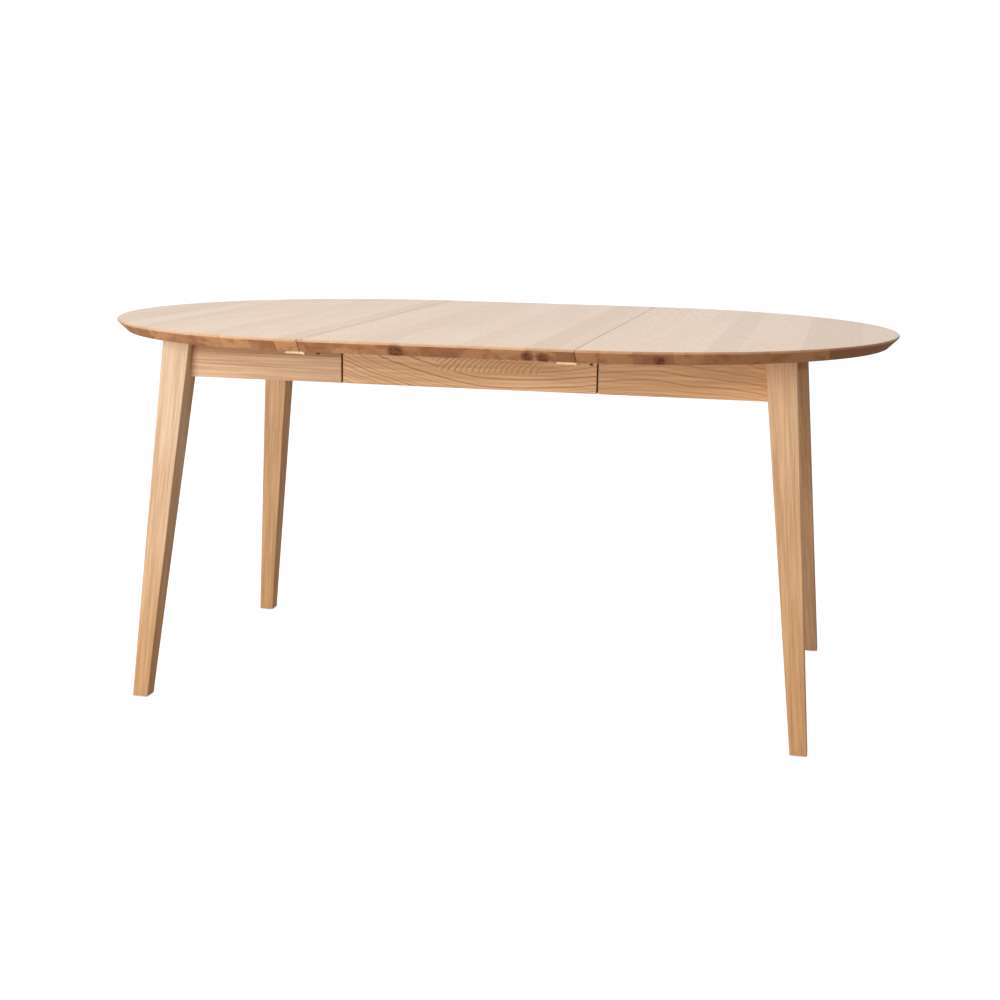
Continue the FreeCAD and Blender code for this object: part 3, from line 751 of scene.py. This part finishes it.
# ---- Wood screws
# Cross-head screws hold every bracket, rail, corner block and lock. Pan heads stand a little proud, and the
# keepers have flush ones, so that the hooks pass over them.
def screw_heads(name, body, spots, radius, rise, material):
    """Pan heads on the given spots, each a centre and the direction that it faces.

    A head is a polar grid, with a height of rise * (1 - 0.4 * share**4) at each share of its radius, a
    straight flank under its rim, and a cross recess of depth 0.5 * rise * cos(2 * angle)**8 that fades out
    at 0.7 of the radius.
    """
    around = 16
    share = np.array([0.02, 0.3, 0.62, 0.86, 1.0, 1.0])
    turn = np.arange(around) * 2 * math.pi / around
    height = rise * (1 - 0.4 * share ** 4)[:, None] * np.ones(around)
    height -= 0.5 * rise * np.cos(2 * turn) ** 8 * np.clip(1 - share / 0.7, 0, 1)[:, None]
    height[-1] = 0
    index = np.arange(len(share) * around).reshape(len(share), around)
    ring = np.stack([index[:-1], index[1:], np.roll(index[1:], -1, 1), np.roll(index[:-1], -1, 1)], axis=-1)
    head_faces = ring.reshape(-1, 4).tolist() + [index[0].tolist()]
    points = []
    faces = []
    for number, (centre, facing) in enumerate(spots):
        side = facing.orthogonal().normalized()
        other = facing.cross(side)
        circle = np.cos(turn)[:, None] * np.array(side) + np.sin(turn)[:, None] * np.array(other)
        flat = radius * share[:, None, None] * circle
        points.append(np.array(centre) + flat + height[:, :, None] * np.array(facing))
        faces += [[number * index.size + k for k in face] for face in head_faces]
    heads = mesh_object(name, np.concatenate(points), faces)
    heads.data.shade_smooth()
    heads.data.set_sharp_from_angle(angle=math.radians(50))
    heads.data.materials.append(material)
    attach(heads, body)


def bracket_spots(foot, inward):
    """Two screws in each flange of the bracket whose inner corner is at foot."""
    along = inward.cross(UP)
    flange = 0.002
    out = 0.018
    half_spacing = 0.005
    spots = []
    for shift in (-half_spacing, half_spacing):
        spots.append((foot + along * shift + inward * flange - UP * out, inward))
        spots.append((foot + along * shift + inward * out - UP * flange, -UP))
    return spots


SCREW_RADIUS = 0.0035
SCREW_RISE = 0.0016
RAIL_SCREWS = (0.270, 0.340, 0.440, 0.540)
HALF_BRACKETS = (0.310, 0.4585)
LEAF_BRACKETS = (-0.150, 0.150)
BLOCK_SLANT = 0.048
BLOCK_SCREW_ASIDE = 0.034
BLOCK_SCREW_RISE = 0.014
apron_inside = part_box("leaf_back_apron")[0].y
end_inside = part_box("right_end_apron")[0].x
rail_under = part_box("right_back_rail")[0].z
end_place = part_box("right_back_rail")[0].y / 2
for side, outward in (("left", -1), ("right", 1)):
    spots = []
    for row, back in (("front", -1), ("back", 1)):
        for place in HALF_BRACKETS:
            foot = Vector((outward * place, back * apron_inside, UNDERSIDE))
            spots += bracket_spots(foot, Vector((0, -back, 0)))
        foot = Vector((outward * end_inside, back * end_place, UNDERSIDE))
        spots += bracket_spots(foot, Vector((-outward, 0, 0)))
        rail_low, rail_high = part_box(side + "_" + row + "_rail")
        rail_y = (rail_low.y + rail_high.y) / 2
        spots += [(Vector((outward * place, rail_y, rail_under)), -UP) for place in RAIL_SCREWS]
        block_low, block_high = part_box(side + "_" + row + "_corner_block")
        corner_x = outward * (end_inside - BLOCK_SLANT)
        corner_y = back * (apron_inside - BLOCK_SLANT)
        slant = Vector((corner_x, corner_y, (block_low.z + block_high.z) / 2))
        inward = Vector((-outward, -back, 0)).normalized()
        across = Vector((-inward.y, inward.x, 0))
        for aside in (-BLOCK_SCREW_ASIDE, BLOCK_SCREW_ASIDE):
            for lift in (-BLOCK_SCREW_RISE, BLOCK_SCREW_RISE):
                spots.append((slant + across * aside + UP * lift, inward))
    screw_heads(side + "_screws", side + "_half", spots, SCREW_RADIUS, SCREW_RISE, zinc)

spots = []
for back in (-1, 1):
    for place in LEAF_BRACKETS:
        foot = Vector((place, back * apron_inside, UNDERSIDE))
        spots += bracket_spots(foot, Vector((0, -back, 0)))
screw_heads("leaf_screws", "leaf", spots, SCREW_RADIUS, SCREW_RISE, zinc)

PLATE_SCREW = 0.052
PLATE_SCREW_RADIUS = 0.004
PLATE_SCREW_RISE = 0.0034
KEEPER_SCREWS = (0.011, 0.034)
KEEPER_SCREW_RADIUS = 0.0025
FLUSH_RISE = 0.00015
half_leaf = (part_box("leaf_top")[1].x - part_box("leaf_top")[0].x) / 2
lock_y = (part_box("left_back_lock_plate")[0].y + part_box("left_back_lock_plate")[1].y) / 2
plate_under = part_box("left_back_lock_plate")[0].z
for plate_body, keeper_body, seam in (("left_half", "leaf", -half_leaf), ("leaf", "right_half", half_leaf)):
    plate_spots = [(Vector((seam - PLATE_SCREW, back * lock_y, plate_under)), -UP) for back in (-1, 1)]
    keeper_spots = [(Vector((seam + place, back * lock_y, plate_under)), -UP)
                    for place in KEEPER_SCREWS for back in (-1, 1)]
    screw_heads(plate_body + "_plate_screws", plate_body, plate_spots, PLATE_SCREW_RADIUS, PLATE_SCREW_RISE,
                brass)
    screw_heads(keeper_body + "_keeper_screws", keeper_body, keeper_spots, KEEPER_SCREW_RADIUS, FLUSH_RISE,
                browned)
